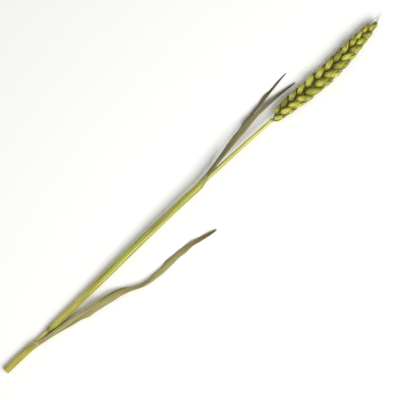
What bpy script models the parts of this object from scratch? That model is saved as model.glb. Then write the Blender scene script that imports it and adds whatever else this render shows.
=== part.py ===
# An ear of bread wheat on its cut stalk, dried and dyed, lying on a flat surface.
# The stalk runs along X from its cut end to the tip of the ear, and the surface is z = 0.
# Lengths are in metres, apart from the tables of places along the stalk, which are in millimetres.

import math
import random

import bmesh
import bpy
from mathutils import Matrix, Vector

MM = 0.001

# The line that the stalk and the ear follow, in millimetres: (along X, value)
STALK_END = 238.0
EAR_END = 333.0
SIDEWAYS = [(0, 0), (45, 0), (150, 1.4), (238, 0), (285, -2.4), (333, 0.2)]
HEIGHT = [(0, 2.3), (48, 2.3), (120, 4.8), (190, 6.8), (238, 6.3), (280, 5.15), (333, 5.3)]

# The straw, in millimetres: (along X, radius). It has one joint, and is hollow below it.
STRAW_RADIUS = [(0, 1.5), (36, 1.5), (38.6, 2.0), (40.6, 2.05), (43, 1.5), (180, 1.45), (238, 1.2)]
STRAW_STEP = 9.0
STRAW_BEVEL = 3
JOINT_STATIONS = [34.0, 37.0, 38.6, 40.6, 42.2, 43.4]
STRAW_BORE_RADIUS = 0.95 * MM
STRAW_BORE_DEPTH = 30 * MM
STRAW_BORE_SIDES = 10

# The ear: spikelets stand alternately left and right on a zigzag axis, and one closes the tip.
# The whole ear is twisted a little, so that the right-hand row faces up at its base.
SPIKELETS = 24
END_CROWDING = 0.17
EAR_ROLL = [(238, -36), (270, -30), (300, -14), (333, -6)]
EAR_BASE_GAP = 0.3
COLLAR_LENGTH = 0.9
FIRST_SPIKELET = 240.3
LAST_SPIKELET = 324.5
RACHIS_ZIGZAG = 0.55 * MM
RACHIS_RADIUS = 0.85 * MM
SPREAD_AT_BASE = math.radians(31)
SPREAD_AT_TIP = math.radians(17)
SPIKELET_SIZE = [(0, 0.68), (0.1, 0.9), (0.4, 1.12), (0.62, 1.06), (0.85, 0.86), (1, 0.7)]
SEED = 11
WOBBLE = math.radians(3.5)

# A husk is a boat-shaped scale: (share of its length, share of its half width). A bristle ends it.
HUSK_PROFILE = [(0, 0), (0.22, 0.86), (0.5, 1), (0.8, 0.6)]
HUSK_SIDES = 6
KEEL_SHARPNESS = 0.16
INNER_FLATNESS = 0.5
HUSK_BOW = 0.05
BRISTLE_RADIUS = 0.3 * MM
SHORT_BRISTLE = 1.0 * MM
LONG_BRISTLES_FROM = 0.62
LONG_BRISTLE = 7.5 * MM

# Length, half width and half depth of each kind of husk in a full-sized spikelet
GLUME = (7.8 * MM, 2.2 * MM, 1.5 * MM)
LEMMA = (8.7 * MM, 2.35 * MM, 1.9 * MM)
UPPER_LEMMA = (6.6 * MM, 2.1 * MM, 1.65 * MM)
GLUME_FAN = math.radians(15)
LEMMA_FAN = math.radians(10)

# A leaf's stations: along X, side and height from the stalk's line, width of the leaf laid flat,
# half angle of its rolled section, and roll of its back, from 0 for up to 90 for left. In millimetres
# and degrees. The sheath goes round the straw, and at the collar it opens into the blade. Rows are spans
# with a number of steps. The flag leaf's blade is torn from a place on, by so much aside at its tip.
FLAG_LEAF = [
    (43.8, 2.15, 0.0, 12.5, 167, 90),
    (60, 2.15, 0.0, 12.5, 167, 90),
    (172, 2.15, 0.0, 12.5, 167, 90),
    (179, 2.35, 0.1, 10.4, 122, 90),
    (186, 3.1, 0.4, 7.4, 76, 84),
    (200, 5.6, 0.7, 6.4, 60, 60),
    (216, 8.0, -0.3, 6.0, 50, 36),
    (232, 10.4, -2.2, 5.6, 40, 20),
    (250, 12.4, -4.4, 4.4, 30, 12),
    (268, 13.4, -4.75, 1.6, 20, 8),
]
FLAG_ROWS = [(43.8, 172, 9), (172, 190, 6), (190, 268, 15)]
FLAG_TEAR = (231, 4.4)
LOWER_LEAF = [
    (0, -2.15, 0.0, 12.5, 167, -90),
    (18, -2.15, 0.0, 12.5, 167, -90),
    (24, -2.35, 0.1, 10.4, 122, -90),
    (31, -3.3, 0.3, 7.6, 76, -84),
    (46, -6.0, 1.4, 6.8, 58, -55),
    (66, -9.6, 3.0, 6.4, 46, -20),
    (86, -13.0, 1.9, 6.2, 38, 20),
    (95, -16.2, -0.2, 5.8, 44, 52),
    (104, -20.8, -1.2, 5.6, 50, 66),
    (116, -22.6, -2.0, 5.2, 50, 34),
    (140, -24.0, -4.5, 4.2, 44, -12),
    (164, -29.0, -5.0, 1.6, 28, -28),
]
LOWER_ROWS = [(0, 18, 2), (18, 35, 6), (35, 88, 10), (88, 112, 8), (112, 164, 9)]
LEAF_COLUMNS = 10
LEAF_THICKNESS = 0.6 * MM
SHARP_FROM = math.radians(45)
FLOOR_BLOCK = 1.0


def smooth_value(table, where, column=1):
    """The value at a place in a table, on a smooth curve through its rows."""
    where = min(max(where, table[0][0]), table[-1][0])
    last = len(table) - 1
    i = max(k for k in range(last) if table[k][0] <= where)

    def slope(k):
        before, after = table[max(k - 1, 0)], table[min(k + 1, last)]
        return (after[column] - before[column]) / (after[0] - before[0])

    span = table[i + 1][0] - table[i][0]
    t = (where - table[i][0]) / span
    start, end = table[i][column], table[i + 1][column]
    ease = t * t * (3 - 2 * t)
    swing = t * (1 - t) * span
    return start + (end - start) * ease + swing * ((1 - t) * slope(i) - t * slope(i + 1))


def on_line(x_mm):
    """A point on the stalk's own line."""
    return Vector((x_mm, smooth_value(SIDEWAYS, x_mm), smooth_value(HEIGHT, x_mm))) * MM


def frame_at(x_mm, roll=0.0):
    """The unit vectors forwards, to the left and upwards at a place on the stalk's line."""
    forward = (on_line(min(x_mm + 1, EAR_END)) - on_line(max(x_mm - 1, 0))).normalized()
    left = Vector((0, 0, 1)).cross(forward).normalized()
    up = forward.cross(left)
    turn = Matrix.Rotation(math.radians(roll), 3, forward)
    return forward, turn @ left, turn @ up


def evenly(start, end, steps):
    return [start + (end - start) * i / steps for i in range(steps + 1)]


def link(name, mesh, collection):
    obj = bpy.data.objects.new(name, mesh)
    collection.objects.link(obj)
    return obj


def collection_named(name):
    collection = bpy.data.collections.new(name)
    bpy.context.scene.collection.children.link(collection)
    return collection


def material(name, colour, roughness):
    made = bpy.data.materials.new(name)
    made.use_nodes = True
    shader = made.node_tree.nodes["Principled BSDF"]
    shader.inputs["Base Color"].default_value = (*colour, 1)
    shader.inputs["Roughness"].default_value = roughness
    shader.inputs["Metallic"].default_value = 0
    return made


def mesh_from(bm, name):
    mesh = bpy.data.meshes.new(name)
    bm.to_mesh(mesh)
    bm.free()
    return mesh


def apply_modifiers(obj):
    """Puts the mesh as its modifiers leave it in place of the object's own."""
    bpy.context.view_layer.update()
    graph = bpy.context.evaluated_depsgraph_get()
    done = bpy.data.meshes.new_from_object(obj.evaluated_get(graph))
    obj.modifiers.clear()
    obj.data = done


def cut(obj, cutter):
    modifier = obj.modifiers.new("cut_" + cutter.name, "BOOLEAN")
    modifier.operation = "DIFFERENCE"
    modifier.object = cutter
    apply_modifiers(obj)


def as_cutter(obj):
    obj.hide_render = True
    obj.display_type = "WIRE"
    return obj


def tube(name, points, radii, bevel_resolution, collection):
    """A closed tube through points, with a radius at each, as a mesh whose end caps are welded."""
    curve = bpy.data.curves.new(name + "_line", "CURVE")
    curve.dimensions = "3D"
    curve.bevel_depth = 1.0
    curve.bevel_resolution = bevel_resolution
    curve.use_fill_caps = True
    spline = curve.splines.new("POLY")
    spline.points.add(len(points) - 1)
    for handle, point, radius in zip(spline.points, points, radii):
        handle.co = (*point, 1)
        handle.radius = radius
    line = link(name + "_line", curve, collection)
    bpy.context.view_layer.update()
    graph = bpy.context.evaluated_depsgraph_get()
    mesh = bpy.data.meshes.new_from_object(line.evaluated_get(graph))
    bpy.data.objects.remove(line)
    bm = bmesh.new()
    bm.from_mesh(mesh)
    bmesh.ops.remove_doubles(bm, verts=bm.verts, dist=0.01 * MM)
    bm.to_mesh(mesh)
    bm.free()
    return link(name, mesh, collection)


def bored_straw(collection, cutters):
    """The straw, with its joint and the hollow that shows at the cut end."""
    joint_start, joint_end = JOINT_STATIONS[0], JOINT_STATIONS[-1]
    plain = evenly(0, STALK_END, round(STALK_END / STRAW_STEP))
    stations = sorted([x for x in plain if not joint_start < x < joint_end] + JOINT_STATIONS)
    points = [on_line(x) for x in stations]
    radii = [smooth_value(STRAW_RADIUS, x) * MM for x in stations]
    straw = tube("culm", points, radii, STRAW_BEVEL, collection)

    past_the_end = 2 * MM
    length = STRAW_BORE_DEPTH + past_the_end
    middle = on_line(0) + Vector((length / 2 - past_the_end, 0, 0))
    bm = bmesh.new()
    bmesh.ops.create_cone(
        bm,
        cap_ends=True,
        segments=STRAW_BORE_SIDES,
        radius1=STRAW_BORE_RADIUS,
        radius2=STRAW_BORE_RADIUS,
        depth=length,
        matrix=Matrix.Translation(middle) @ Matrix.Rotation(math.pi / 2, 4, "Y"),
    )
    bore = as_cutter(link("straw_bore", mesh_from(bm, "straw_bore"), cutters))
    cut(straw, bore)
    return straw


def husk(name, sizes, size, bristle, matrix, collection):
    """One husk: a sphere drawn out into a keeled boat. Unplaced, its back is +X and its tip +Z."""
    length, half_width, half_depth = (s * size for s in sizes)
    rings = len(HUSK_PROFILE) + 1
    bm = bmesh.new()
    bmesh.ops.create_uvsphere(bm, u_segments=HUSK_SIDES, v_segments=rings, radius=1)
    for vertex in bm.verts:
        from_base = math.acos(max(-1.0, min(1.0, -vertex.co.z))) / math.pi
        ring = round(from_base * rings)
        around = math.atan2(vertex.co.y, vertex.co.x)
        if ring < len(HUSK_PROFILE):
            share, width_share = HUSK_PROFILE[ring]
            along, wide, deep = share * length, half_width * width_share, half_depth * width_share
        else:
            along = length + bristle * (ring == rings)
            wide = deep = BRISTLE_RADIUS * (ring < rings)
        out = math.cos(around)
        lean = HUSK_BOW * length * math.sin(math.pi * min(along / length, 1.0))
        keel = 1 + KEEL_SHARPNESS * (out > 0.9)
        flat = INNER_FLATNESS if out < 0 else 1.0
        vertex.co = (deep * out * keel * flat + lean, wide * math.sin(around), along)
    mesh = mesh_from(bm, name)
    mesh.transform(matrix)
    return link(name, mesh, collection)


def standing(base, tip_direction, back_direction):
    """The matrix that stands a husk on its base, with its tip and its back turned to the given directions."""
    tip = tip_direction.normalized()
    across = tip.cross(back_direction).normalized()
    back = across.cross(tip)
    turn = Matrix((back, across, tip)).transposed()
    return Matrix.Translation(base) @ turn.to_4x4()


def spikelet(number, place, size, side, spread, chance, collection):
    """Two glumes and three florets, fanned flat against the ear's axis on one side."""
    forward, left, up = frame_at(place, smooth_value(EAR_ROLL, place))
    outward = left * side
    step = MM * size
    root = on_line(place) + outward * RACHIS_ZIGZAG
    share = number / SPIKELETS
    long_share = max(0.0, (share - LONG_BRISTLES_FROM) / (1 - LONG_BRISTLES_FROM))
    for hand in (1, -1):
        lean = spread + chance.uniform(-WOBBLE, WOBBLE)
        wobble = chance.uniform(-WOBBLE, WOBBLE) / 2
        bristle = SHORT_BRISTLE + LONG_BRISTLE * long_share * chance.uniform(0.5, 1.0)
        axis = forward * math.cos(lean) + outward * math.sin(lean)
        fan = GLUME_FAN + wobble
        tip = axis * math.cos(fan) + up * hand * math.sin(fan)
        base = root + outward * 0.1 * step + up * hand * 0.45 * step - axis * 0.5 * MM
        matrix = standing(base, tip, up * hand + outward * 0.45)
        husk(f"glume_{number}_{hand}", GLUME, size, SHORT_BRISTLE, matrix, collection)
        fan = LEMMA_FAN + wobble
        tip = axis * math.cos(fan) + up * hand * math.sin(fan)
        base = root + axis * (0.6 if hand > 0 else 1.1) * step + up * hand * 0.4 * step
        husk(f"lemma_{number}_{hand}", LEMMA, size, bristle, standing(base, tip, up * hand), collection)
    lean = spread + math.radians(5)
    tip = forward * math.cos(lean) + outward * math.sin(lean)
    base = root + tip * 2.8 * step + outward * 0.4 * step
    matrix = standing(base, tip, outward)
    husk(f"upper_lemma_{number}", UPPER_LEMMA, size, SHORT_BRISTLE, matrix, collection)


def ear(collection, husks):
    """The ear's zigzag axis with every husk fused to it."""
    chance = random.Random(SEED)
    collar = STALK_END + EAR_BASE_GAP
    points = [on_line(collar), on_line(collar + COLLAR_LENGTH)]
    radii = [smooth_value(STRAW_RADIUS, STALK_END) * MM] * 2
    for number in range(SPIKELETS + 1):
        side = 1 if number % 2 else -1
        share = number / SPIKELETS
        crowded = share - END_CROWDING * math.sin(2 * math.pi * share) / (2 * math.pi)
        place = FIRST_SPIKELET + (LAST_SPIKELET - FIRST_SPIKELET) * crowded
        size = smooth_value(SPIKELET_SIZE, share)
        _, left, _ = frame_at(place, smooth_value(EAR_ROLL, place))
        points.append(on_line(place) + left * side * RACHIS_ZIGZAG)
        radii.append(RACHIS_RADIUS * (1.15 - 0.5 * share))
        spread = SPREAD_AT_BASE + (SPREAD_AT_TIP - SPREAD_AT_BASE) * share
        if number == SPIKELETS:
            spread = 0.0
        spikelet(number, place, size, side, spread, chance, husks)
    made = tube("ear", points, radii, 1, collection)
    join = made.modifiers.new("fuse_husks", "BOOLEAN")
    join.operation = "UNION"
    join.operand_type = "COLLECTION"
    join.collection = husks
    apply_modifiers(made)
    for obj in list(husks.objects):
        bpy.data.objects.remove(obj)
    bpy.data.collections.remove(husks)
    return made


def leaf_section(stations, place):
    """The centre, back, side direction, radius and half angle of a leaf's rolled section at one place."""
    width, half_angle, roll = (smooth_value(stations, place, column) for column in (3, 4, 5))

    def vein(x):
        offset = Vector((0, smooth_value(stations, x, 1), smooth_value(stations, x, 2)))
        return on_line(x) + offset * MM

    ahead, behind = min(place + 1, stations[-1][0]), max(place - 1, stations[0][0])
    along = (vein(ahead) - vein(behind)).normalized()
    left = Vector((0, 0, 1)).cross(along).normalized()
    up = along.cross(left)
    back = up * math.cos(math.radians(roll)) + left * math.sin(math.radians(roll))
    half = math.radians(half_angle)
    radius = width * MM / (2 * half)
    return vein(place) - back * radius, back, along.cross(back), radius, half


def torn_aside(tear, place, tip):
    """How far each half of a torn blade has moved aside at one place."""
    if tear is None or place <= tear[0]:
        return 0.0
    start, spread = tear
    return spread * MM * ((place - start) / (tip - start)) ** 1.5


def leaf(name, stations, spans, collection, tear=None):
    """A sheath and its blade: a grid rolled round the straw and opened out, made into a thin shell."""
    places = []
    for start, end, steps in spans:
        places += evenly(start, end, steps)[bool(places) :]
    last, tip = len(places) - 1, places[-1]
    bm = bmesh.new()
    bmesh.ops.create_grid(bm, x_segments=last, y_segments=LEAF_COLUMNS, size=1)

    def place_of(vertex):
        return places[round((vertex.co.x + 1) / 2 * last)]

    vein_edges = [e for e in bm.edges if all(abs(v.co.y) < 0.01 for v in e.verts)]
    torn = [e for e in vein_edges if any(torn_aside(tear, place_of(v), tip) for v in e.verts)]
    bmesh.ops.split_edges(bm, edges=torn)
    shaped = []
    for vertex in bm.verts:
        place = place_of(vertex)
        centre, back, across, radius, half = leaf_section(stations, place)
        which_half = math.copysign(1, sum(f.calc_center_median().y for f in vertex.link_faces))
        aside = radius * math.sin(half * vertex.co.y) + which_half * torn_aside(tear, place, tip)
        shaped.append(centre + back * radius * math.cos(half * vertex.co.y) + across * aside)
    for vertex, point in zip(bm.verts, shaped):
        vertex.co = point
    bmesh.ops.triangulate(bm, faces=bm.faces)
    made = link(name, mesh_from(bm, name), collection)
    wall = made.modifiers.new("wall", "SOLIDIFY")
    wall.thickness = LEAF_THICKNESS
    wall.offset = 0
    apply_modifiers(made)
    return made


def floor_block(cutters):
    """A block under the surface, which flattens what rests on it."""
    bm = bmesh.new()
    place = Matrix.Translation((0, 0, -FLOOR_BLOCK / 2))
    bmesh.ops.create_cube(bm, size=FLOOR_BLOCK, matrix=place)
    return as_cutter(link("floor_block", mesh_from(bm, "floor_block"), cutters))


def centre_on_origin(objects):
    """Moves the whole plant so that the origin is under the middle of its bounding box."""
    corners = [v.co for obj in objects for v in obj.data.vertices]
    for axis in (0, 1):
        values = [c[axis] for c in corners]
        middle = (min(values) + max(values)) / 2
        for obj in objects:
            obj.location[axis] -= middle


def main():
    for obj in list(bpy.data.objects):
        bpy.data.objects.remove(obj)
    plant = collection_named("wheat_ear")
    cutters = collection_named("cutters")
    husks = collection_named("husks")
    straw_green = material("dyed_straw", (0.55, 0.56, 0.16), 0.5)
    husk_green = material("dyed_husk", (0.42, 0.43, 0.08), 0.65)
    leaf_olive = material("dry_leaf", (0.3, 0.27, 0.12), 0.75)
    pieces = [
        (bored_straw(plant, cutters), straw_green),
        (ear(plant, husks), husk_green),
        (leaf("flag_leaf", FLAG_LEAF, FLAG_ROWS, plant, FLAG_TEAR), leaf_olive),
        (leaf("lower_leaf", LOWER_LEAF, LOWER_ROWS, plant), leaf_olive),
    ]
    floor = floor_block(cutters)
    for obj, finish in pieces:
        cut(obj, floor)
        obj.data.materials.clear()
        obj.data.materials.append(finish)
        obj.data.shade_smooth()
        obj.data.set_sharp_from_angle(angle=SHARP_FROM)
    centre_on_origin([obj for obj, _ in pieces])


main()
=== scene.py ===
import math
import random

import bmesh
import bpy
from mathutils import Matrix, Vector


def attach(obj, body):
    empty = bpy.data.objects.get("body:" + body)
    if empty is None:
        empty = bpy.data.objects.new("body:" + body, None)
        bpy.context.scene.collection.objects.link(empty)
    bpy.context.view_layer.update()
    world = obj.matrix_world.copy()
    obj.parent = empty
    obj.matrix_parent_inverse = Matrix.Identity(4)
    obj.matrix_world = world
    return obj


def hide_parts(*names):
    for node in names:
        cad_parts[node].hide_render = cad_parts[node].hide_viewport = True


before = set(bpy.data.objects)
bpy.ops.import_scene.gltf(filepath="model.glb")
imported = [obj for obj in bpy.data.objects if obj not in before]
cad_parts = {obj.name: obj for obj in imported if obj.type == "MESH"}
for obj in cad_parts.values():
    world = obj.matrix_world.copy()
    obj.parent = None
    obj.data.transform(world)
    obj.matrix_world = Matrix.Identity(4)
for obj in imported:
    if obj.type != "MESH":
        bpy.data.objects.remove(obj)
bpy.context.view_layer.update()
mm = 0.001

# The line that the stalk and the ear follow. Places along it are in millimetres from the cut end.
stalkLine = {
    "start": (-0.16919, 0.00581),  # where the cut end lies in the frame
    "sideways": [(0, 0), (45, 0), (150, 1.4), (238, 0), (285, -2.4), (333, 0.2)],
    "height": [(0, 2.3), (48, 2.3), (120, 4.8), (190, 6.8), (238, 6.3), (280, 5.15), (333, 5.3)],
    "end": 333,
}


def tableValue(table, where, column=1):
    where = min(max(where, table[0][0]), table[-1][0])
    last = len(table) - 1
    row = max(k for k in range(last) if table[k][0] <= where)

    def slope(k):
        before, after = table[max(k - 1, 0)], table[min(k + 1, last)]
        return (after[column] - before[column]) / (after[0] - before[0])

    span = table[row + 1][0] - table[row][0]
    t = (where - table[row][0]) / span
    low, high = table[row][column], table[row + 1][column]
    ease = t * t * (3 - 2 * t)
    return low + (high - low) * ease + t * (1 - t) * span * ((1 - t) * slope(row) - t * slope(row + 1))


def evenly(low, high, steps):
    return [low + (high - low) * k / steps for k in range(steps + 1)]


def onLine(place):
    startX, startY = stalkLine["start"]
    side, height = tableValue(stalkLine["sideways"], place), tableValue(stalkLine["height"], place)
    return Vector((startX + place * mm, startY + side * mm, height * mm))


def directionsAt(place, roll):
    forward = (onLine(min(place + 1, stalkLine["end"])) - onLine(max(place - 1, 0))).normalized()
    left = Vector((0, 0, 1)).cross(forward).normalized()
    turn = Matrix.Rotation(math.radians(roll), 3, forward)
    return forward, turn @ left, turn @ forward.cross(left)


def deselectAll():
    if bpy.context.object and bpy.context.object.mode != "OBJECT":
        bpy.ops.object.mode_set(mode="OBJECT")
    bpy.ops.object.select_all(action="DESELECT")


def startPiece(name):
    piece = bpy.context.object
    piece.name = piece.data.name = name
    bpy.ops.object.transform_apply(location=True, rotation=True, scale=True)
    bpy.ops.object.mode_set(mode="EDIT")
    return piece


def pick(piece, test, kind="VERT"):
    bpy.ops.mesh.select_mode(type=kind)
    bpy.ops.mesh.select_all(action="DESELECT")
    mesh = bmesh.from_edit_mesh(piece.data)
    elements = {"VERT": mesh.verts, "EDGE": mesh.edges, "FACE": mesh.faces}[kind]
    for element in elements:
        if test(element):
            element.select_set(True)
    bmesh.update_edit_mesh(piece.data)


def inRing(vert, place):
    # Whether a cylinder's point stands at this place along it, in millimetres
    return abs(vert.co.x - place * mm) < 0.01 * mm


def addModifier(piece, kind, **values):
    modifier = piece.modifiers.new(kind.title(), kind)
    for name, value in values.items():
        setattr(modifier, name, value)


def finishPiece(piece):
    deselectAll()
    piece.select_set(True)
    bpy.context.view_layer.objects.active = piece
    for modifier in list(piece.modifiers):
        bpy.ops.object.modifier_apply(modifier=modifier.name)
    bpy.ops.object.shade_smooth_by_angle(angle=math.radians(50))
    piece.select_set(False)
    return piece


def setDown(piece):
    # What would hang below the surface is pressed flat, just above it
    level = 0.02 * mm
    deselectAll()
    bpy.context.view_layer.objects.active = piece
    bpy.ops.object.mode_set(mode="EDIT")
    pick(piece, lambda v: v.co.z < level)
    bpy.ops.transform.resize(value=(1, 1, 0), center_override=(0, 0, level))
    bpy.ops.object.mode_set(mode="OBJECT")
    return piece


def joined(name, pieces):
    deselectAll()
    for piece in pieces:
        piece.select_set(True)
    bpy.context.view_layer.objects.active = pieces[0]
    bpy.ops.object.join()
    piece = bpy.context.object
    piece.name = piece.data.name = name
    piece.select_set(False)
    return piece


def copyOf(model, matrix, tint):
    copy = model.copy()
    copy.data = model.data.copy()
    copy.data.transform(matrix)
    shade = copy.data.attributes.new("tint", "FLOAT", "POINT")
    shade.data.foreach_set("value", [tint] * len(copy.data.vertices))
    bpy.context.collection.objects.link(copy)
    return copy


def removeModel(model):
    mesh = model.data
    bpy.data.objects.remove(model)
    bpy.data.meshes.remove(mesh)


def dress(piece, finish, node):
    piece.data.materials.clear()
    piece.data.materials.append(finish)
    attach(piece, "root")
    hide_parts(node)


def colour(red, green, blue):
    # From the 0 to 255 of a colour picker
    def linear(value):
        value /= 255
        return value / 12.92 if value <= 0.04045 else ((value + 0.055) / 1.055) ** 2.4

    return (linear(red), linear(green), linear(blue), 1)


class Nodes:
    def __init__(self, name, roughness, specular):
        self.material = bpy.data.materials.new(name)
        self.material.use_nodes = True
        self.tree = self.material.node_tree
        self.shader = self.tree.nodes["Principled BSDF"]
        self.shader.inputs["Roughness"].default_value = roughness
        self.shader.inputs["Specular IOR Level"].default_value = specular

    def add(self, kind, links=(), **values):
        node = self.tree.nodes.new(kind)
        for name, value in values.items():
            setattr(node, name, value)
        for socket, source in dict(links).items():
            if isinstance(source, bpy.types.NodeSocket):
                self.tree.links.new(source, node.inputs[socket])
            else:
                node.inputs[socket].default_value = source
        return node

    def math(self, operation, first, second=0.0, clamp=False, last=0.0):
        links = {0: first, 1: second, 2: last}
        return self.add("ShaderNodeMath", links, operation=operation, use_clamp=clamp).outputs[0]

    def wave(self, position, count):
        turns = self.math("SINE", self.math("MULTIPLY", position, 2 * math.pi * count))
        return self.math("MULTIPLY_ADD", turns, 0.5, last=0.5)

    def noise(self, vector, scale, detail, stretch=(1, 1, 1)):
        mapped = self.add("ShaderNodeMapping", {"Vector": vector, "Scale": stretch})
        links = {"Vector": mapped.outputs[0], "Scale": scale, "Detail": detail}
        return self.add("ShaderNodeTexNoise", links).outputs["Fac"]

    def step(self, value, low, high):
        links = {"Value": value, "From Min": low, "From Max": high}
        return self.add("ShaderNodeMapRange", links, interpolation_type="SMOOTHSTEP").outputs["Result"]

    def bandAt(self, place, low, high):
        # A soft band round the stalk between two places along it
        low, high = (stalkLine["start"][0] + end * mm for end in (low, high))
        x = self.add("ShaderNodeSeparateXYZ", {0: place}).outputs[0]
        away = self.math("ABSOLUTE", self.math("SUBTRACT", x, (low + high) / 2))
        return self.math("SUBTRACT", 1.15, self.math("DIVIDE", away, (high - low) / 2), True)

    def ramp(self, factor, stops):
        node = self.add("ShaderNodeValToRGB", {"Fac": factor})
        marks = node.color_ramp.elements
        for mark, (place, shade) in zip(marks, stops):
            mark.position, mark.color = place, shade
        for place, shade in stops[2:]:
            marks.new(place).color = shade
        return node.outputs["Color"]

    def mix(self, factor, first, second, blend="MIX"):
        links = {0: factor, 6: first, 7: second}  # the colour sockets of a node that also has number ones
        return self.add("ShaderNodeMix", links, data_type="RGBA", blend_type=blend).outputs[2]

    def partly(self, factor, amount, first, second, blend="MIX"):
        return self.mix(self.math("MULTIPLY", factor, amount), first, second, blend)

    def patched(self, value, where, shade, over):
        # Another colour where a value is high: where that begins, where it is full, and its strength
        low, high, strength = where
        return self.partly(self.step(value, low, high), strength, shade, over)

    def finish(self, shade, rough=None, height=None, bump=0.3, distance=0.0001):
        self.tree.links.new(shade, self.shader.inputs["Base Color"])
        if rough is not None:
            self.tree.links.new(rough, self.shader.inputs["Roughness"])
        if height is not None:
            node = self.add("ShaderNodeBump", {"Height": height, "Strength": bump, "Distance": distance})
            self.tree.links.new(node.outputs[0], self.shader.inputs["Normal"])
        return self.material


# Husks: yellow-green dye over straw, with painted shade in the gaps between the husks and along their
# margins, so paler on the back
huskLook = {
    "foot": colour(92, 96, 10),
    "body": colour(168, 168, 46),
    "bright": colour(224, 222, 100),
    "lime": colour(160, 184, 30),
    "straw": colour(196, 170, 88),
    "tip": colour(118, 92, 48),
    "fleck": colour(146, 118, 62),
    # The next two colours are painted shade: one for the gaps between the husks, one for the husks' margins
    "gap": colour(84, 78, 18),
    "paintedMarginShade": colour(108, 94, 34),
    # Along each husk: the dark foot is partly its greener base and partly painted shade where it sits deep
    # among the others
    "alongHusk": [(0.14, "foot"), (0.36, "body"), (0.5, "bright"), (0.66, "body"), (0.83, "tip")],
    # Each three numbers in brackets below: where a colour begins, where it is full, and its strength.
    # Patches: scale of the noise, its detail and mirroring, those three, and the colour. The mirroring
    # keeps one kind of patch from lying on another.
    "patches": [
        (90, 2, (1, 1, 1), (0.46, 0.62, 0.4), "lime"),
        (160, 3, (1, -1, 1), (0.54, 0.68, 0.45), "straw"),
        (420, 3, (1, 1, 1), (0.42, 0.74, 0.6), "foot"),
        (300, 4, (1, 1, -1), (0.53, 0.62, 0.6), "fleck"),
    ],
    "veins": 9.0,
    "veinShine": (0.35, 0.8, 0.42),
    "fibres": (90, 5, 1),  # how close they stand across the husk and along it
    "fibreShade": 0.35,
    "tintBy": (0.5, -0.45),  # how far a husk's own tint takes it to the bright and to the foot's colour
    "margin": (0.22, 0.29, 0.75),  # thin margins with painted shade, by the turn from the back's middle
    "paintedGapShade": 0.8,
    "paintedShadeFrom": 0.3,  # share of the ear's half width from which the painted shade in the gaps fades
    "paintedShadeTo": 0.74,
}


def huskMaterial(name):
    nodes = Nodes(name, 0.5, 0.35)
    coordinates = nodes.add("ShaderNodeTexCoord")
    uv, place = coordinates.outputs["UV"], coordinates.outputs["Object"]
    parts = nodes.add("ShaderNodeSeparateXYZ", {0: uv})
    around, along = parts.outputs[0], parts.outputs[1]
    vein = nodes.wave(around, huskLook["veins"])
    fibres = nodes.noise(uv, 1.0, 4.0, huskLook["fibres"])
    tint = nodes.add("ShaderNodeAttribute", attribute_name="tint").outputs["Fac"]
    gapShadeMask = nodes.add("ShaderNodeAttribute", attribute_name="gapShadeMask").outputs["Fac"]
    shade = nodes.ramp(along, [(mark, huskLook[which]) for mark, which in huskLook["alongHusk"]])
    shade = nodes.patched(vein, huskLook["veinShine"], shade, huskLook["bright"])
    for size, detail, mirror, where, which in huskLook["patches"]:
        shade = nodes.patched(nodes.noise(place, size, detail, mirror), where, shade, huskLook[which])
    shade = nodes.partly(fibres, huskLook["fibreShade"], shade, huskLook["body"], "MULTIPLY")
    for strength, which in zip(huskLook["tintBy"], ("bright", "foot")):
        shade = nodes.mix(nodes.math("MULTIPLY", tint, strength, True), shade, huskLook[which])
    # painted shade along each husk's margins, growing with the turn from the back's middle
    offBack = nodes.math("ABSOLUTE", nodes.math("SUBTRACT", around, 0.5))
    shade = nodes.patched(offBack, huskLook["margin"], shade, huskLook["paintedMarginShade"])
    # painted shade in the gaps between the husks, strongest near the ear's axis
    shade = nodes.partly(gapShadeMask, huskLook["paintedGapShade"], shade, huskLook["gap"])
    height = nodes.math("MULTIPLY_ADD", fibres, 0.7, last=nodes.step(vein, 0.1, 0.9))
    rough = nodes.math("MULTIPLY_ADD", fibres, 0.25, last=0.34)
    return nodes.finish(shade, rough, height, 0.8, 0.00012)


# Straw: glossy, with long fine streaks, a browner band at the joint, and dye worn thin in places
strawLook = {
    "pale": colour(216, 212, 116),
    "green": colour(150, 156, 44),
    "worn": colour(200, 184, 112),
    "joint": colour(112, 104, 38),
    "jointAt": (36.4, 42.6),
    "jointShade": 0.8,
    "streaks": (24, 2600, 2600),  # how close they stand along the straw and round it
    "patches": (16, 120, 120),
}


def strawMaterial():
    nodes = Nodes("dyedStraw", 0.34, 0.5)
    place = nodes.add("ShaderNodeTexCoord").outputs["Object"]
    streaks = nodes.noise(place, 1.0, 4.0, strawLook["streaks"])
    patches = nodes.noise(place, 1.0, 2.0, strawLook["patches"])
    shade = nodes.ramp(streaks, [(0.36, strawLook["green"]), (0.6, strawLook["pale"])])
    shade = nodes.mix(nodes.step(patches, 0.5, 0.72), shade, strawLook["worn"])
    onJoint = nodes.bandAt(place, *strawLook["jointAt"])
    shade = nodes.partly(onJoint, strawLook["jointShade"], shade, strawLook["joint"])
    rough = nodes.math("MULTIPLY_ADD", streaks, 0.2, last=0.26)
    return nodes.finish(shade, rough, streaks, 0.35, 0.00006)


# Dry leaves: dyed sheath with close ribs, a pale collar, then a weathered blade that browns to its tip
leafGrain = {
    # How close they stand along the leaf and across it
    "fibres": (14, 95, 1), "patches": (9, 2.2, 1), "streaks": (5, 14, 1),
    # Where streaks begin to be bright or dull and are fully so, and how much on the blade and the sheath
    "bright": (0.52, 0.62), "brightBy": (0.6, 0.8),
    "dull": (0.46, 0.36), "dullBy": (0.7, 0.85),
    "tip": (0.74, 1.0),  # shares of the leaf's length between which it browns
    "bladeFrom": (-9, 6),  # the sheath's colours run into the blade's between these places from the collar
    "collar": (-0.5, 2), "collarShade": 0.4,
    # Where each begins, where it is full, and its strength; the pale margin by the share of the width
    "dye": (0.47, 0.57, 0.75), "margin": (0.46, 0.495, 0.7), "speck": (0.66, 0.74, 0.6),
}


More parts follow.
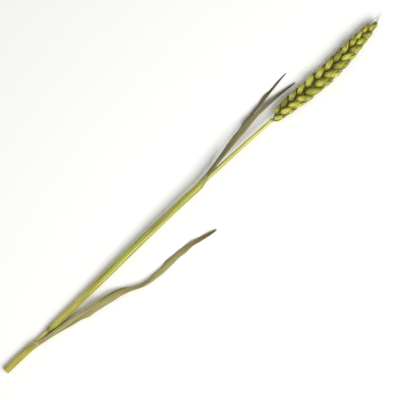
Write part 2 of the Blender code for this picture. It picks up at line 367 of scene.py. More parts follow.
def leafMaterial(name, look):
    nodes = Nodes(name, 0.55, 0.5)
    coordinates = nodes.add("ShaderNodeTexCoord")
    uv, place = coordinates.outputs["UV"], coordinates.outputs["Object"]
    parts = nodes.add("ShaderNodeSeparateXYZ", {0: uv})
    along, across = parts.outputs[0], parts.outputs[1]
    fibres = nodes.noise(uv, 1.0, 5.0, leafGrain["fibres"])
    patches = nodes.noise(uv, 1.0, 3.0, leafGrain["patches"])
    streaks = nodes.noise(uv, 1.0, 3.0, leafGrain["streaks"])
    bright, dull = nodes.step(streaks, *leafGrain["bright"]), nodes.step(streaks, *leafGrain["dull"])
    (bladeBright, sheathBright), (bladeDull, sheathDull) = leafGrain["brightBy"], leafGrain["dullBy"]
    specks = nodes.noise(place, 1500.0, 2.0)
    blade = nodes.ramp(fibres, [(0.3, look["dark"]), (0.5, look["body"]), (0.72, look["pale"])])
    blade = nodes.mix(nodes.step(patches, 0.42, 0.66), blade, look["patch"])
    blade = nodes.partly(bright, bladeBright, blade, look["pale"])
    blade = nodes.partly(dull, bladeDull, blade, look["dark"])
    blade = nodes.mix(nodes.step(along, *leafGrain["tip"]), blade, look["tip"])
    stops = [(0.3, look["sheathDark"]), (0.5, look["sheath"]), (0.7, look["sheathPale"])]
    sheath = nodes.ramp(fibres, stops)
    sheath = nodes.patched(patches, leafGrain["dye"], sheath, look["dye"])
    sheath = nodes.partly(bright, sheathBright, sheath, look["sheathPale"])
    sheath = nodes.partly(dull, sheathDull, sheath, look["sheathDark"])
    low, high = (stalkLine["start"][0] + (look["collarAt"] + off) * mm for off in leafGrain["bladeFrom"])
    onBlade = nodes.step(nodes.add("ShaderNodeSeparateXYZ", {0: place}).outputs[0], low, high)
    shade = nodes.mix(onBlade, sheath, blade)
    collar = nodes.bandAt(place, *(look["collarAt"] + off for off in leafGrain["collar"]))
    shade = nodes.partly(collar, leafGrain["collarShade"], shade, look["collar"])
    offMiddle = nodes.math("ABSOLUTE", nodes.math("SUBTRACT", across, 0.5))
    shade = nodes.patched(offMiddle, leafGrain["margin"], shade, look["collar"])
    shade = nodes.patched(specks, leafGrain["speck"], shade, look["speck"])
    height = nodes.math("MULTIPLY_ADD", nodes.wave(across, look["veins"]), 0.8, last=fibres)
    rough = nodes.math("MULTIPLY_ADD", fibres, 0.3, last=0.28)
    return nodes.finish(shade, rough, height, 0.55, 0.0001)


def plainMaterial(name, pale, dark, roughness):
    # One colour with a fine grain, for the small pieces
    nodes = Nodes(name, roughness, 0.3)
    place = nodes.add("ShaderNodeTexCoord").outputs["Object"]
    grain = nodes.noise(place, 1100.0, 3.0)
    shade = nodes.ramp(grain, [(0.35, dark), (0.65, pale)])
    return nodes.finish(shade, None, grain, 0.3, 0.00005)


# The straw: a long cylinder ringed all along, each ring brought onto the line, with the joint swollen
straw = {
    "sides": 32,
    "length": 238.4,
    "radius": [(0, 1.5), (35.6, 1.5), (37.2, 1.46), (38.3, 1.95), (39.4, 2.08), (40.5, 2.02),
               (41.4, 1.6), (42.4, 1.46), (44, 1.5), (180, 1.45), (238.4, 1.2)],
    "ringEvery": 6,
    "jointRings": [34.5, 36, 37.2, 37.8, 38.3, 38.9, 39.5, 40.1, 40.6, 41.1, 41.7, 42.6, 43.8],
    "ridge": 1.028,
    "wall": 0.42,
    "hollow": 30,
}


def makeStraw():
    deselectAll()
    length = straw["length"] * mm
    bpy.ops.mesh.primitive_cylinder_add(
        vertices=straw["sides"], radius=straw["radius"][0][1] * mm, depth=length,
        end_fill_type="NGON", location=(length / 2, 0, 0), rotation=(0, math.pi / 2, 0))
    piece = startPiece("straw")
    joint = straw["jointRings"]
    steps = evenly(0, straw["length"], round(straw["length"] / straw["ringEvery"]))
    rings = sorted([x for x in steps[1:-1] if not joint[0] <= x <= joint[-1]] + joint)
    for place in rings:
        bpy.ops.mesh.select_all(action="SELECT")
        bpy.ops.mesh.bisect(plane_co=(place * mm, 0, 0), plane_no=(1, 0, 0))
    step = 2 * math.pi / straw["sides"]
    for place in [0] + rings + [straw["length"]]:
        centre = (place * mm, 0, 0)
        grow = tableValue(straw["radius"], place) / straw["radius"][0][1]
        pick(piece, lambda v: inRing(v, place))
        bpy.ops.transform.resize(value=(1, grow, grow), center_override=centre)
        pick(piece, lambda v: inRing(v, place) and round(math.atan2(v.co.z, v.co.y) / step) % 2)
        bpy.ops.transform.resize(value=(1, straw["ridge"], straw["ridge"]), center_override=centre)
    # the hollow that shows at the cut end
    pick(piece, lambda f: f.normal.x < -0.9 and f.calc_center_median().x < 0.1 * mm, "FACE")
    bpy.ops.mesh.inset(thickness=straw["wall"] * mm)
    bpy.ops.mesh.extrude_region_move(TRANSFORM_OT_translate={"value": (straw["hollow"] * mm, 0, 0)})
    # each ring goes to its place on the stalk's line
    for place in [0] + rings + [straw["length"]]:
        pick(piece, lambda v: inRing(v, place))
        side = tableValue(stalkLine["sideways"], place) * mm
        bpy.ops.transform.translate(value=(0, side, tableValue(stalkLine["height"], place) * mm))
    pick(piece, lambda v: inRing(v, straw["hollow"]))
    bpy.ops.transform.translate(value=(0, 0, onLine(straw["hollow"]).z))
    bpy.ops.mesh.select_all(action="SELECT")
    startX, startY = stalkLine["start"]
    bpy.ops.transform.translate(value=(startX, startY, 0))
    return finishPiece(piece)


# The ear: spikelets stand left and right in turn on a zigzag axis, and one closes the tip
earPlan = {
    "spikelets": 24,
    "endCrowding": 0.17,
    "halfWidth": 5.0,
    "roll": [(238, -36), (268, -27), (300, -14), (333, -6)],
    "collar": 238.3,
    "first": 240.3,  # places of the lowest and the top spikelet
    "last": 324.5,
    "zigzag": 0.55,
    "spread": (37, 20),  # degrees from the axis, at the base and at the tip
    "upperLean": 0.8,
    "size": [(0, 0.68), (0.1, 0.92), (0.4, 1.14), (0.62, 1.09), (0.85, 0.84), (0.96, 0.66), (1, 0.82)],
    "seed": 11,
    "wobble": 5.0,
    "glumeFan": 15,  # degrees up or down from the spikelet's own line
    "lemmaFan": 8,
    # Where the husks stand from the spikelet's root
    "glumeFoot": (0.3, 0.45),  # outwards, and up or down
    "glumeBack": 0.5,  # behind the root, whatever the spikelet's size
    "lemmaFoot": (0.3, 0.6, 1.1),  # up or down, and along for the upper and the lower floret
    "upperFoot": (0.7, 2.9),  # outwards and along
    "outwardTurn": 0.4,  # how much the husks' backs turn outwards from up or down
    "glumeAwn": 0.8,  # share of the short awns' length
    "shortAwn": 1.7,
    "leftAwn": 2.0,  # how many times longer the short awns of the left row are
    "longAwn": 7.5,  # added at the ear's tip, and in part from here on
    "longFrom": 0.62,
}

lemmaOutline = [(0.04, 0.42), (0.11, 0.7), (0.22, 0.92), (0.35, 1.0), (0.49, 0.95),
                (0.63, 0.78), (0.76, 0.54), (0.87, 0.3), (0.95, 0.13)]

# Each husk: length, half width and half depth in mm, and its outline as (share of length, share of width)
husks = {
    "glume": {
        "size": (8.3, 1.92, 1.5), "keel": 0.32, "rib": 0.08, "opening": 112, "wall": 0.16,
        "outline": [(0.04, 0.42), (0.11, 0.68), (0.22, 0.92), (0.35, 1.0), (0.49, 0.95),
                    (0.63, 0.79), (0.76, 0.57), (0.87, 0.34), (0.95, 0.15)],
    },
    "lemma": {
        "size": (9.5, 2.05, 1.35), "keel": 0.16, "rib": 0.06, "opening": 128, "wall": 0.16,
        "outline": lemmaOutline,
    },
    "upperLemma": {
        "size": (8.6, 1.9, 1.6), "keel": 0.16, "rib": 0.06, "opening": 128, "wall": 0.16,
        "outline": lemmaOutline,
    },
    "palea": {
        "size": (7.6, 1.85, 1.25), "keel": -0.12, "rib": 0.0, "opening": None, "wall": 0,
        "outline": [(0.08, 0.5), (0.25, 0.88), (0.45, 1.0), (0.65, 0.84), (0.82, 0.5), (0.94, 0.2)],
    },
    "sides": 18,
    "paleaSides": 10,
    "bow": 0.05,
    "sway": 0.12,
    "innerFlatness": 0.5,
    "seed": 5,
    "widths": (0.93, 1.05),  # from the narrowest to the widest of a kind
    "depths": (0.92, 1.05),
    "paleaInside": 0.75,  # how far a floret's inner film stands from its back, and how far up it starts
    "paleaUp": 0.03,
}


def modelHusk(name, swayX, swayY):
    # Stands along Z with its back to X, and its upper part sways towards the ear's tip
    look = husks[name]
    length, halfWidth, halfDepth = (s * mm for s in look["size"])
    count = len(look["outline"]) + 1
    sides = husks["sides"] if look["opening"] else husks["paleaSides"]
    deselectAll()
    bpy.ops.mesh.primitive_uv_sphere_add(segments=sides, ring_count=count, radius=1)
    piece = startPiece(name)
    mesh = bmesh.from_edit_mesh(piece.data)
    ringOf = {v.index: round(math.acos(max(-1, min(1, -v.co.z))) / math.pi * count) for v in mesh.verts}
    turnOf = {v.index: abs(math.degrees(math.atan2(v.co.y, v.co.x))) for v in mesh.verts}
    step = 360 / sides
    inside = {i for i, ring in ringOf.items() if 0 < ring < count}
    # keel along the back, ribs on every other meridian, and the inner side pressed flat
    pick(piece, lambda v: v.index in inside and turnOf[v.index] < step / 2)
    bpy.ops.transform.resize(value=(1 + look["keel"], 1, 1), center_override=(0, 0, 0))
    if look["rib"]:
        pick(piece, lambda v: v.index in inside and round(turnOf[v.index] / step) % 2 == 0)
        bpy.ops.transform.resize(value=(1 + look["rib"], 1 + look["rib"], 1), center_override=(0, 0, 0))
    pick(piece, lambda v: turnOf[v.index] > 91)
    bpy.ops.transform.resize(value=(husks["innerFlatness"], 1, 1), center_override=(0, 0, 0))
    for ring in range(count + 1):
        level = -math.cos(math.pi * ring / count)
        share, width = ([(0, 0)] + look["outline"] + [(1, 0)])[ring]
        pick(piece, lambda v: ringOf[v.index] == ring)
        if 0 < ring < count:
            radius = math.sin(math.pi * ring / count)
            grow = (halfDepth * width / radius, halfWidth * width / radius, 1)
            bpy.ops.transform.resize(value=grow, center_override=(0, 0, level))
        bow = husks["bow"] * length * math.sin(math.pi * share)
        sway = husks["sway"] * length * share * share
        bpy.ops.transform.translate(value=(bow + swayX * sway, swayY * sway, share * length - level))
    if look["opening"]:
        pick(piece, lambda f: all(turnOf[v.index] > look["opening"] or v.index not in inside
                                  for v in f.verts), "FACE")
        bpy.ops.mesh.delete(type="FACE")
        bpy.ops.object.mode_set(mode="OBJECT")
        addModifier(piece, "SOLIDIFY", thickness=look["wall"] * mm, offset=-1, use_even_offset=False)
    bpy.ops.object.mode_set(mode="OBJECT")
    addModifier(piece, "SUBSURF", levels=1, render_levels=1)
    return finishPiece(piece)


awn = {
    "sides": 6, "radius": 0.25, "tipRadius": 0.05, "cuts": [0.25, 0.5, 0.75], "curve": -0.35,
    "root": 1.2,  # how far inside the husk it starts
    "green": colour(146, 136, 52), "brown": colour(112, 90, 44), "dark": colour(70, 56, 32),
}


def modelAwn():
    deselectAll()
    bpy.ops.mesh.primitive_cone_add(
        vertices=awn["sides"], radius1=awn["radius"] * mm, radius2=awn["tipRadius"] * mm,
        depth=1, location=(0, 0, 0.5))
    piece = startPiece("awn")
    for cut in awn["cuts"]:
        bpy.ops.mesh.select_all(action="SELECT")
        bpy.ops.mesh.bisect(plane_co=(0, 0, cut), plane_no=(0, 0, 1))
    for cut in awn["cuts"] + [1]:
        pick(piece, lambda v: abs(v.co.z - cut) < 0.01)
        bpy.ops.transform.translate(value=(awn["curve"] * cut * cut * mm, 0, 0))
    finishPiece(piece)
    along = piece.data.attributes.new("along", "FLOAT", "POINT")
    along.data.foreach_set("value", [vert.co.z for vert in piece.data.vertices])
    return piece


def awnMaterial():
    nodes = Nodes("dryAwn", 0.5, 0.3)
    along = nodes.add("ShaderNodeAttribute", attribute_name="along").outputs["Fac"]
    return nodes.finish(nodes.ramp(along, [(0.1, awn["green"]), (0.5, awn["brown"]), (1.0, awn["dark"])]))


def standing(base, tipDirection, backDirection):
    tip = tipDirection.normalized()
    across = tip.cross(backDirection).normalized()
    turn = Matrix((across.cross(tip), across, tip)).transposed()
    return Matrix.Translation(base) @ turn.to_4x4()


def earPlaces():
    # Where every husk and awn of the ear stands: (kind, sway, matrix, size, awn length)
    chance = random.Random(earPlan["seed"])
    wobbleBy = math.radians(earPlan["wobble"])
    axisPoints, places = [], []
    for number in range(earPlan["spikelets"] + 1):
        side = 1 if number % 2 else -1
        share = number / earPlan["spikelets"]
        crowded = share - earPlan["endCrowding"] * math.sin(2 * math.pi * share) / (2 * math.pi)
        place = earPlan["first"] + (earPlan["last"] - earPlan["first"]) * crowded
        size = tableValue(earPlan["size"], share)
        low, high = earPlan["spread"]
        spread = 0 if share == 1 else math.radians(low + (high - low) * share)
        forward, left, up = directionsAt(place, tableValue(earPlan["roll"], place))
        outward = left * side
        step = mm * size
        root = onLine(place) + outward * earPlan["zigzag"] * mm
        axisPoints.append((root, share))
        longShare = max(0, (share - earPlan["longFrom"]) / (1 - earPlan["longFrom"]))
        shortAwn = earPlan["shortAwn"] * (earPlan["leftAwn"] if side > 0 else 1)
        for hand in (1, -1):
            lean = spread + chance.uniform(-wobbleBy, wobbleBy)
            wobble = chance.uniform(-wobbleBy, wobbleBy) / 2
            awnLength = shortAwn + earPlan["longAwn"] * longShare * chance.uniform(0.5, 1)
            axis = forward * math.cos(lean) + outward * math.sin(lean)
            fan = math.radians(earPlan["glumeFan"]) + wobble
            tip = axis * math.cos(fan) + up * hand * math.sin(fan)
            out, high = earPlan["glumeFoot"]
            base = root + outward * out * step + up * hand * high * step - axis * earPlan["glumeBack"] * mm
            back = up * hand + outward * earPlan["outwardTurn"]
            glumeAwn = shortAwn * earPlan["glumeAwn"]
            places.append(("glume", hand * side, standing(base, tip, back), size, glumeAwn))
            fan = math.radians(earPlan["lemmaFan"]) + wobble
            tip = axis * math.cos(fan) + up * hand * math.sin(fan)
            high, upperAlong, lowerAlong = earPlan["lemmaFoot"]
            along = upperAlong if hand > 0 else lowerAlong
            base = root + axis * along * step + up * hand * high * step
            places.append(("lemma", hand * side, standing(base, tip, back), size, awnLength))
        axis = forward * math.cos(spread) + outward * math.sin(spread)
        lean = spread * earPlan["upperLean"]
        tip = forward * math.cos(lean) + outward * math.sin(lean)
        out, along = earPlan["upperFoot"]
        base = root + axis * along * step + outward * out * step
        places.append(("upperLemma", 0, standing(base, tip, outward), size, shortAwn))
    return axisPoints, places


def markPaintedGapShade(piece):
    # 1 on the ear's axis, 0 from some way out: the material paints shade into the gaps between the husks by
    # it
    gapShadeMask = piece.data.attributes.new("gapShadeMask", "FLOAT", "POINT")
    values = []
    for vert in piece.data.vertices:
        place = (vert.co.x - stalkLine["start"][0]) / mm
        share = min(max((place - earPlan["first"]) / (earPlan["last"] - earPlan["first"]), 0), 1)
        halfWidth = earPlan["halfWidth"] * tableValue(earPlan["size"], share) * mm
        out = (vert.co - onLine(min(place, stalkLine["end"]))).yz.length / halfWidth
        t = min(max((out - huskLook["paintedShadeFrom"]) / (huskLook["paintedShadeTo"] - huskLook["paintedShadeFrom"]), 0), 1)
        values.append(1 - t * t * (3 - 2 * t))
    gapShadeMask.data.foreach_set("value", values)
    return piece


def makeHusks(places):
    chance = random.Random(husks["seed"])
    kinds = [(name, sway) for name in ("glume", "lemma", "palea") for sway in (1, -1)]
    models = {(name, sway): modelHusk(name, 0, sway) for name, sway in kinds}
    models.update({(name, 0): modelHusk(name, -1, 0) for name in ("upperLemma", "palea")})
    awnModel = modelAwn()
    copies = {"glume": [], "lemma": [], "palea": [], "awn": []}
    for kind, sway, matrix, size, awnLength in places:
        tint = chance.uniform(-1, 1)
        depth, width = chance.uniform(*husks["depths"]), chance.uniform(*husks["widths"])
        grow = Matrix.Diagonal((size * depth, size * width, size, 1))
        group = "glume" if kind == "glume" else "lemma"
        copies[group].append(copyOf(models[kind, sway], matrix @ grow, tint))
        length = husks[kind]["size"][0] * mm
        if kind != "glume":
            inside, up = husks["paleaInside"] * mm * size, husks["paleaUp"] * length * size
            inset = Matrix.Translation((-inside, 0, up))
            shrink = Matrix.Scale(husks[kind]["size"][0] / husks["lemma"]["size"][0], 4)
            copies["palea"].append(copyOf(models["palea", sway], matrix @ grow @ inset @ shrink, tint))
        # the awn starts inside the husk's tip and goes on in the direction that its curve has there
        awnSize = Matrix.Diagonal((size, size, (awnLength + awn["root"]) * mm, 1))
        reach = husks["sway"] * length
        tip = Vector((0 if sway else -reach, sway * reach, length))
        lean = grow @ Vector((2 * tip.x - math.pi * husks["bow"] * length, 2 * tip.y, length))
        foot = standing(grow @ tip - lean.normalized() * awn["root"] * mm, lean, Vector((1, 0, 0)))
        copies["awn"].append(copyOf(awnModel, matrix @ foot @ awnSize, tint))
    for model in [*models.values(), awnModel]:
        removeModel(model)
    return {name: setDown(markPaintedGapShade(joined(name + "s", group))) for name, group in copies.items()}


# The ear's axis: flattened wedges from spikelet to spikelet, wider at their tops, with hairy edges
rachis = {
    "sides": 16, "foot": (1.2, 1.05), "top": (1.7, 1.45), "widestAt": 0.72,
    "thickness": [(0, 0.68), (0.1, 1.0), (0.35, 1.05), (1, 0.65)],  # from the ear's base to its tip
    "overlap": 1.12,  # each wedge runs this much into the next
    "turnedOver": 80,  # length of the ear over which the axis turns with it
    "seed": 3,
    "hairs": 9, "hairLength": 0.9, "hairRadius": (0.035, 0.005),
    "hairUp": (0.55, 0.95), "hairOut": 1.15, "hairAside": 0.4, "hairLean": (0.5, 1.1),
}


def makeRachis(axisPoints):
    deselectAll()
    bpy.ops.mesh.primitive_cylinder_add(
        vertices=rachis["sides"], radius=1, depth=1, end_fill_type="NGON", location=(0, 0, 0.5))
    model = startPiece("internode")
    bpy.ops.mesh.select_all(action="SELECT")
    bpy.ops.mesh.bisect(plane_co=(0, 0, rachis["widestAt"]), plane_no=(0, 0, 1))
    foot, top = rachis["foot"], rachis["top"]
    for level, (wide, deep) in ((0, foot), (rachis["widestAt"], top), (1, foot)):
        pick(model, lambda v: abs(v.co.z - level) < 0.01)
        bpy.ops.transform.resize(value=(deep * mm, wide * mm, 1), center_override=(0, 0, level))
    finishPiece(model)
    bpy.ops.mesh.primitive_cone_add(
        vertices=3, radius1=rachis["hairRadius"][0] * mm, radius2=rachis["hairRadius"][1] * mm,
        depth=rachis["hairLength"] * mm, location=(0, 0, rachis["hairLength"] * mm / 2))
    hair = startPiece("hair")
    finishPiece(hair)
    chance = random.Random(rachis["seed"])
    aside = rachis["hairAside"]
    wedges, hairs = [], []
    points = [(onLine(earPlan["collar"] - 1), 0)] + axisPoints
    for (low, _), (high, share) in zip(points, points[1:]):
        along = high - low
        roll = tableValue(earPlan["roll"], earPlan["first"] + share * rachis["turnedOver"])
        _, left, up = directionsAt(earPlan["first"], roll)
        stand = standing(low, along, left)
        thin = tableValue(rachis["thickness"], share)
        grow = Matrix.Diagonal((thin, thin, along.length * rachis["overlap"], 1))
        wedges.append(copyOf(model, stand @ grow, 0))
        for k in range(rachis["hairs"] * 2):
            hand = 1 if k % 2 else -1
            height = chance.uniform(*rachis["hairUp"]) * along.length
            out = hand * rachis["hairOut"] * thin * mm
            foot = stand @ Vector((chance.uniform(-aside, aside) * mm, out, height))
            lean = along.normalized() + up * hand * chance.uniform(*rachis["hairLean"])
            lean += left * chance.uniform(-aside, aside)
            hairs.append(copyOf(hair, standing(foot, lean, left), chance.uniform(-1, 1)))
    removeModel(model)
    removeModel(hair)
    return joined("rachis", wedges), setDown(joined("rachisHairs", hairs))


# Where the straw widens into the ear: a low uneven ring over a short neck
earCollar = {
    "sides": 20, "foot": 237.7, "top": 240.2,
    "radius": [(0, 1.21), (0.22, 1.24), (0.34, 1.52), (0.5, 1.56), (0.62, 1.3), (0.8, 1.16), (1, 0.9)],
    "lobes": 5, "lobeDepth": 0.04,
}


def makeEarCollar():
    deselectAll()
    low, high = earCollar["foot"], earCollar["top"]
    bpy.ops.mesh.primitive_cylinder_add(
        vertices=earCollar["sides"], radius=mm, depth=(high - low) * mm, end_fill_type="NGON",
        location=((low + high) / 2 * mm, 0, 0), rotation=(0, math.pi / 2, 0))
    piece = startPiece("earCollar")
    rings = [(low + (high - low) * share, radius) for share, radius in earCollar["radius"]]
    for place, _ in rings[1:-1]:
        bpy.ops.mesh.select_all(action="SELECT")
        bpy.ops.mesh.bisect(plane_co=(place * mm, 0, 0), plane_no=(1, 0, 0))
    every = 2 * math.pi / earCollar["lobes"]
    for place, radius in rings:
        centre = (place * mm, 0, 0)
        pick(piece, lambda v: inRing(v, place))
        bpy.ops.transform.resize(value=(1, radius, radius), center_override=centre)
        pick(piece, lambda v: inRing(v, place) and math.atan2(v.co.z, v.co.y) % every < every / 2)
        grow = 1 + earCollar["lobeDepth"] * (radius > rings[0][1])
        bpy.ops.transform.resize(value=(1, grow, grow), center_override=centre)
        pick(piece, lambda v: inRing(v, place))
        onto = onLine(place) - Vector((place * mm, 0, 0))
        bpy.ops.transform.translate(value=(onto.x, onto.y, onto.z))
    bpy.ops.object.mode_set(mode="OBJECT")
    addModifier(piece, "SUBSURF", levels=1, render_levels=1)
    return finishPiece(piece)


# Leaves. Stations: place, side and height from the stalk's line, width laid flat, half angle of the rolled
# section, and roll of the back (0 up, 90 left). The solids' leaves lie on nearly the same stations.
flagLeaf = {
    "stations": [
        (41, 1.86, 0.0, 10.85, 167, 90),
        (43.6, 2.15, 0.0, 12.5, 167, 90),
        (60, 2.15, 0.0, 12.5, 167, 90),
        (172, 2.15, 0.0, 12.5, 167, 90),
        (179, 2.35, 0.1, 10.4, 122, 90),
        (186, 3.1, 0.4, 7.4, 76, 84),
        (200, 5.6, 0.7, 6.4, 60, 60),
        (216, 8.0, -0.3, 6.0, 50, 36),
        (232, 10.4, -2.2, 5.6, 40, 20),
        (250, 12.4, -4.4, 4.4, 30, 12),
        (262, 13.3, -4.75, 2.1, 22, 9),
        (268, 13.4, -4.75, 0.7, 20, 8),
    ],
    "spans": [(41, 46, 6), (46, 172, 50), (172, 190, 16), (190, 268, 62)],
    "tear": (231, 4.4),
    "side": 1,
    "collarAt": 181.5,
    "seed": 2,
}
lowerLeaf = {
    "stations": [
        (0, -2.15, 0.0, 12.5, 167, -90),
        (18, -2.15, 0.0, 12.5, 167, -90),
        (24, -2.35, 0.1, 10.4, 122, -90),
        (31, -3.3, 0.3, 7.6, 76, -84),
        (46, -6.0, 1.4, 6.8, 58, -55),
        (66, -9.6, 3.0, 6.4, 46, -20),
        (86, -13.0, 1.9, 6.2, 38, 20),
        (95, -16.2, -0.2, 5.8, 44, 52),
        (104, -20.8, -1.2, 5.6, 50, 66),
        (116, -22.6, -2.0, 5.2, 50, 34),
        (140, -24.0, -4.5, 4.2, 44, -12),
        (157, -27.4, -4.9, 2.3, 32, -24),
        (164, -29.0, -5.0, 0.6, 28, -28),
    ],
    "spans": [(0, 18, 10), (18, 35, 16), (35, 88, 44), (88, 112, 28), (112, 164, 44)],
    "tear": None,
    "side": -1,
    "collarAt": 26.5,
    "seed": 9,
}
weathered = {
    "dark": colour(58, 54, 28), "body": colour(120, 112, 64), "pale": colour(172, 162, 110),
    "patch": colour(112, 105, 84), "tip": colour(80, 70, 50), "speck": colour(64, 56, 26),
    "sheathDark": colour(92, 88, 22), "sheath": colour(170, 164, 66), "sheathPale": colour(220, 214, 104),
    "dye": colour(156, 164, 44),
    "collar": colour(196, 184, 124), "collarAt": flagLeaf["collarAt"], "veins": 16,
}
bleached = {
    "dark": colour(86, 78, 34), "body": colour(150, 140, 72), "pale": colour(202, 192, 124),
    "patch": colour(152, 142, 98), "tip": colour(112, 94, 50), "speck": colour(88, 74, 34),
    "sheathDark": colour(100, 88, 26), "sheath": colour(176, 164, 66), "sheathPale": colour(220, 208, 104),
    "dye": colour(160, 162, 46),
    "collar": colour(200, 188, 130), "collarAt": lowerLeaf["collarAt"], "veins": 16,
}
leafForm = {
    "columns": 32, "wall": 0.22, "overlap": 0.13, "lift": 0.3,
    "rolled": (100, 160),  # half angles between which a flat blade becomes a rolled sheath
    "rib": 0.06, "ribLoss": 0.3,  # the ribs' height, and the share of it that is lost on the sheath
    "midrib": 0.2, "midribLoss": 0.5, "midribWidth": 0.05,
    "wave": 0.28,
    "waves": [(2.9, 1.3, 1), (1.7, -1, 0.6)],  # millimetres for each radian, slant, and share of the height
    "calmOver": 12, "calmTip": 0.2,  # the waves die down over this length, to this share at the tip
    "tearCurve": 1.5,
    "fray": 3.4, "frayFrom": 7,
}


def leafSection(stations, place):
    width, halfAngle, roll = (tableValue(stations, place, column) for column in (3, 4, 5))

    def vein(x):
        return onLine(x) + Vector((0, tableValue(stations, x, 1), tableValue(stations, x, 2))) * mm

    ahead, behind = min(place + 1, stations[-1][0]), max(place - 1, stations[0][0])
    along = (vein(ahead) - vein(behind)).normalized()
    left = Vector((0, 0, 1)).cross(along).normalized()
    up = along.cross(left)
    back = up * math.cos(math.radians(roll)) + left * math.sin(math.radians(roll))
    half = math.radians(halfAngle)
    radius = width * mm / (2 * half)
    return vein(place) - back * radius, back, along.cross(back), radius, half


def makeLeaf(name, look):
    places = []
    for low, high, steps in look["spans"]:
        places += evenly(low, high, steps)[bool(places):]
    last, tip = len(places) - 1, places[-1]
    deselectAll()
    bpy.ops.mesh.primitive_grid_add(x_subdivisions=last, y_subdivisions=leafForm["columns"], size=2)
    piece = startPiece(name)

    def placeOf(x):
        return places[round((x + 1) / 2 * last)]

    if look["tear"]:  # the blade is torn along its vein towards the tip
        pick(piece, lambda e: all(abs(v.co.y) < 0.001 for v in e.verts)
             and max(placeOf(v.co.x) for v in e.verts) > look["tear"][0], "EDGE")
        bpy.ops.mesh.edge_split(type="EDGE")
    bpy.ops.object.mode_set(mode="OBJECT")
    # A sheath can't be rolled and opened out with the transform tools, so each point is put on its section
    halves = [0.0] * len(piece.data.vertices)
    for face in piece.data.polygons:
        for index in face.vertices:
            halves[index] += face.center.y
    chance = random.Random(look["seed"])
    phases = [chance.uniform(0, 6.28) for _ in range(4)]  # the waves take the first two
    frays = [chance.uniform(0, leafForm["fray"]) for _ in range(leafForm["columns"] + 1)]
    for vert in piece.data.vertices:
        x, y = vert.co.x, vert.co.y
        column = round((y + 1) / 2 * leafForm["columns"])
        place = placeOf(x)
        place -= frays[column] * max(0, 1 - (tip - place) / leafForm["frayFrom"]) ** 2
        centre, back, across, radius, half = leafSection(look["stations"], place)
        flat, closed = leafForm["rolled"]
        rolled = max(0, min(1, (math.degrees(half) - flat) / (closed - flat)))
        angle = half * y * (1 + leafForm["overlap"] * rolled)
        lift = leafForm["lift"] * rolled * max(0, y) ** 2
        lift += leafForm["rib"] * (column % 2) * (1 - leafForm["ribLoss"] * rolled)
        midrib = leafForm["midrib"] * math.exp(-(y / leafForm["midribWidth"]) ** 2)
        lift += midrib * (1 - leafForm["midribLoss"] * rolled)
        wave = sum(share * math.sin(place / length + phase + slant * y)
                   for (length, slant, share), phase in zip(leafForm["waves"], phases))
        calm = min(1, (tip - place) / leafForm["calmOver"] + leafForm["calmTip"])
        lift += leafForm["wave"] * (1 - rolled) * abs(y) ** 2 * wave * calm
        aside = 0
        if look["tear"] and place > look["tear"][0]:
            start, spread = look["tear"]
            aside = math.copysign(spread * mm, halves[vert.index])
            aside *= ((place - start) / (tip - start)) ** leafForm["tearCurve"]
        reach = radius + lift * mm
        vert.co = centre + back * reach * math.cos(angle) + across * (reach * math.sin(angle) + aside)
    addModifier(piece, "SOLIDIFY", thickness=leafForm["wall"] * mm, offset=0)
    return setDown(finishPiece(piece))


# At each sheath's mouth: a ragged membrane round the straw, and two small horns that clasp it
mouth = {
    "sides": 24, "radius": 1.68, "height": 2.0, "flare": 1.14, "ragged": 0.5, "wall": 0.12, "gap": 0.35,
    "below": 0.6,  # how far below the collar the membrane starts
    "hornRadius": 0.42, "hornTip": 0.07, "hornSides": 8, "hornRings": 7,
    "hornTurn": (78, 166),  # degrees round the straw, from the horn's foot to its tip
    "hornReach": (1.92, 2.17), "hornRise": 0.8,
}


def makeLigule(name, look):
    side, height = look["side"], mouth["height"] * mm
    chance = random.Random(look["seed"])
    deselectAll()
    bpy.ops.mesh.primitive_cylinder_add(
        vertices=mouth["sides"], radius=mouth["radius"] * mm, depth=height, end_fill_type="NOTHING",
        location=(height / 2, 0, 0), rotation=(0, math.pi / 2, 0))
    piece = startPiece(name)
    pick(piece, lambda f: f.normal.y * side < -1 + mouth["gap"], "FACE")
    bpy.ops.mesh.delete(type="FACE")
    bpy.ops.mesh.select_all(action="SELECT")
    bpy.ops.mesh.bisect(plane_co=(height / 2, 0, 0), plane_no=(1, 0, 0))
    pick(piece, lambda v: v.co.x > height * 0.9)
    bpy.ops.transform.resize(value=(1, mouth["flare"], mouth["flare"]), center_override=(height, 0, 0))
    for turn in sorted(math.atan2(v.co.z, v.co.y) for v in bmesh.from_edit_mesh(piece.data).verts
                       if v.co.x > height * 0.9):
        pick(piece, lambda v: v.co.x > height * 0.5 and abs(math.atan2(v.co.z, v.co.y) - turn) < 0.01)
        bpy.ops.transform.translate(value=(chance.uniform(-1, 1) * mouth["ragged"] * mm, 0, 0))
    bpy.ops.mesh.select_all(action="SELECT")
    bpy.ops.transform.translate(value=onLine(look["collarAt"] - mouth["below"]))
    bpy.ops.object.mode_set(mode="OBJECT")
    addModifier(piece, "SOLIDIFY", thickness=mouth["wall"] * mm, offset=0)
    return setDown(finishPiece(piece))


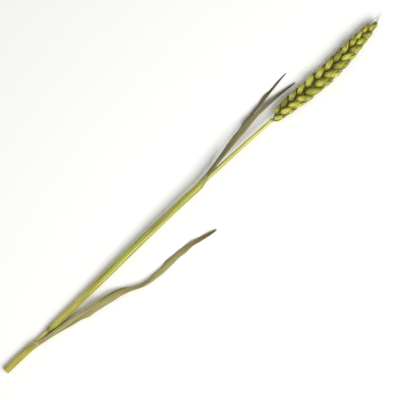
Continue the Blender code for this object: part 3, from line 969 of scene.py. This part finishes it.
def makeHorns(name, look):
    horns = []
    for hand in (1, -1):
        deselectAll()
        bpy.ops.mesh.primitive_cone_add(
            vertices=mouth["hornSides"], radius1=mouth["hornRadius"] * mm, radius2=mouth["hornTip"] * mm,
            depth=1, location=(0, 0, 0.5))
        horn = startPiece("horn")
        levels = evenly(0, 1, mouth["hornRings"])
        for level in levels[1:-1]:
            bpy.ops.mesh.select_all(action="SELECT")
            bpy.ops.mesh.bisect(plane_co=(0, 0, level), plane_no=(0, 0, 1))
        bpy.ops.object.mode_set(mode="OBJECT")
        # each ring goes round the straw to its own turn, from the blade's side to the far side
        (low, high), (near, far) = mouth["hornTurn"], mouth["hornReach"]
        for vert in horn.data.vertices:
            turn = math.radians(low + (high - low) * vert.co.z) * hand
            reach = (near + (far - near) * vert.co.z) * mm + vert.co.y
            out = Vector((0, math.cos(turn) * look["side"], math.sin(turn)))
            rise = mouth["hornRise"] * mm * vert.co.z ** 2
            vert.co = onLine(look["collarAt"]) + out * reach + Vector((vert.co.x + rise, 0, 0))
        bpy.ops.object.mode_set(mode="EDIT")
        bpy.ops.mesh.select_all(action="SELECT")
        bpy.ops.mesh.normals_make_consistent(inside=False)
        horns.append(finishPiece(horn))
    return setDown(joined(name, horns))


# Studio: a pale floor, a broad key light from the lower right of the picture, and a soft fill opposite it
studio = {
    "floor": colour(250, 250, 248),
    "turn": -43.3,  # the stalk runs along the picture's diagonal, as in the photograph
    "height": 0.73,
    "lens": 100,
    "aim": (0.0, 0.0),
    "key": ((0.1, -0.56, 0.8), 0.65, 8.7),  # place, width and power
    "fill": ((-0.5, 0.6, 0.9), 0.9, 1.2),
    "world": 0.4,
}


def areaLight(name, place, size, power):
    light = bpy.data.lights.new(name, "AREA")
    light.size, light.energy = size, power
    lamp = bpy.data.objects.new(name, light)
    lamp.location = place
    lamp.rotation_mode = "QUATERNION"
    lamp.rotation_quaternion = (-Vector(place)).to_track_quat("-Z", "Y")
    bpy.context.collection.objects.link(lamp)


def makeStudio():
    deselectAll()
    bpy.ops.mesh.primitive_plane_add(size=6)
    floor = bpy.context.object
    floor.name = "floor"
    floor.select_set(False)
    nodes = Nodes("paleFloor", 0.9, 0.1)
    nodes.shader.inputs["Base Color"].default_value = studio["floor"]
    floor.data.materials.append(nodes.material)
    for name in ("key", "fill"):
        areaLight(name, *studio[name])
    world = bpy.data.worlds.new("studio")
    bpy.context.scene.world = world
    world.use_nodes = True
    background = world.node_tree.nodes["Background"]
    background.inputs["Color"].default_value = (1, 1, 1, 1)
    background.inputs["Strength"].default_value = studio["world"]
    camera = bpy.data.objects.new("camera", bpy.data.cameras.new("camera"))
    camera.data.lens = studio["lens"]
    camera.location = (*studio["aim"], studio["height"])
    camera.rotation_euler = (0, 0, math.radians(studio["turn"]))
    bpy.context.collection.objects.link(camera)
    bpy.context.scene.camera = camera
    bpy.context.scene.view_settings.view_transform = "Standard"


makeStudio()
print("studio ready")

dress(makeStraw(), strawMaterial(), "culm")
print("straw ready")

axisPoints, places = earPlaces()
earPieces = makeHusks(places)
dress(earPieces["glume"], huskMaterial("glumeHusk"), "ear")
dress(earPieces["lemma"], huskMaterial("lemmaHusk"), "ear")
film = plainMaterial("paleaFilm", colour(206, 202, 118), colour(150, 150, 62), 0.6)
dress(earPieces["palea"], film, "ear")
dress(earPieces["awn"], awnMaterial(), "ear")
axisPiece, hairPiece = makeRachis(axisPoints)
# the ear's axis is coloured dark as painted shade where it shows between the husks
paintedShadeAxis = plainMaterial("paintedShadeEarAxis", colour(138, 136, 58), colour(82, 82, 22), 0.6)
neck = plainMaterial("earNeck", colour(190, 188, 96), colour(140, 138, 48), 0.5)
down = plainMaterial("axisHair", colour(226, 222, 168), colour(190, 184, 120), 0.5)
dress(axisPiece, paintedShadeAxis, "ear")
dress(makeEarCollar(), neck, "ear")
dress(hairPiece, down, "ear")
print("ear ready")

dress(makeLeaf("flagLeaf", flagLeaf), leafMaterial("weatheredLeaf", weathered), "flag_leaf")
dress(makeLeaf("lowerLeaf", lowerLeaf), leafMaterial("bleachedLeaf", bleached), "lower_leaf")
membrane = plainMaterial("membrane", colour(214, 204, 158), colour(170, 158, 104), 0.45)
for name, look, node in (("flag", flagLeaf, "flag_leaf"), ("lower", lowerLeaf, "lower_leaf")):
    dress(makeLigule(name + "Ligule", look), membrane, node)
    dress(makeHorns(name + "Horns", look), membrane, node)
print("leaves ready")

bpy.context.view_layer.update()
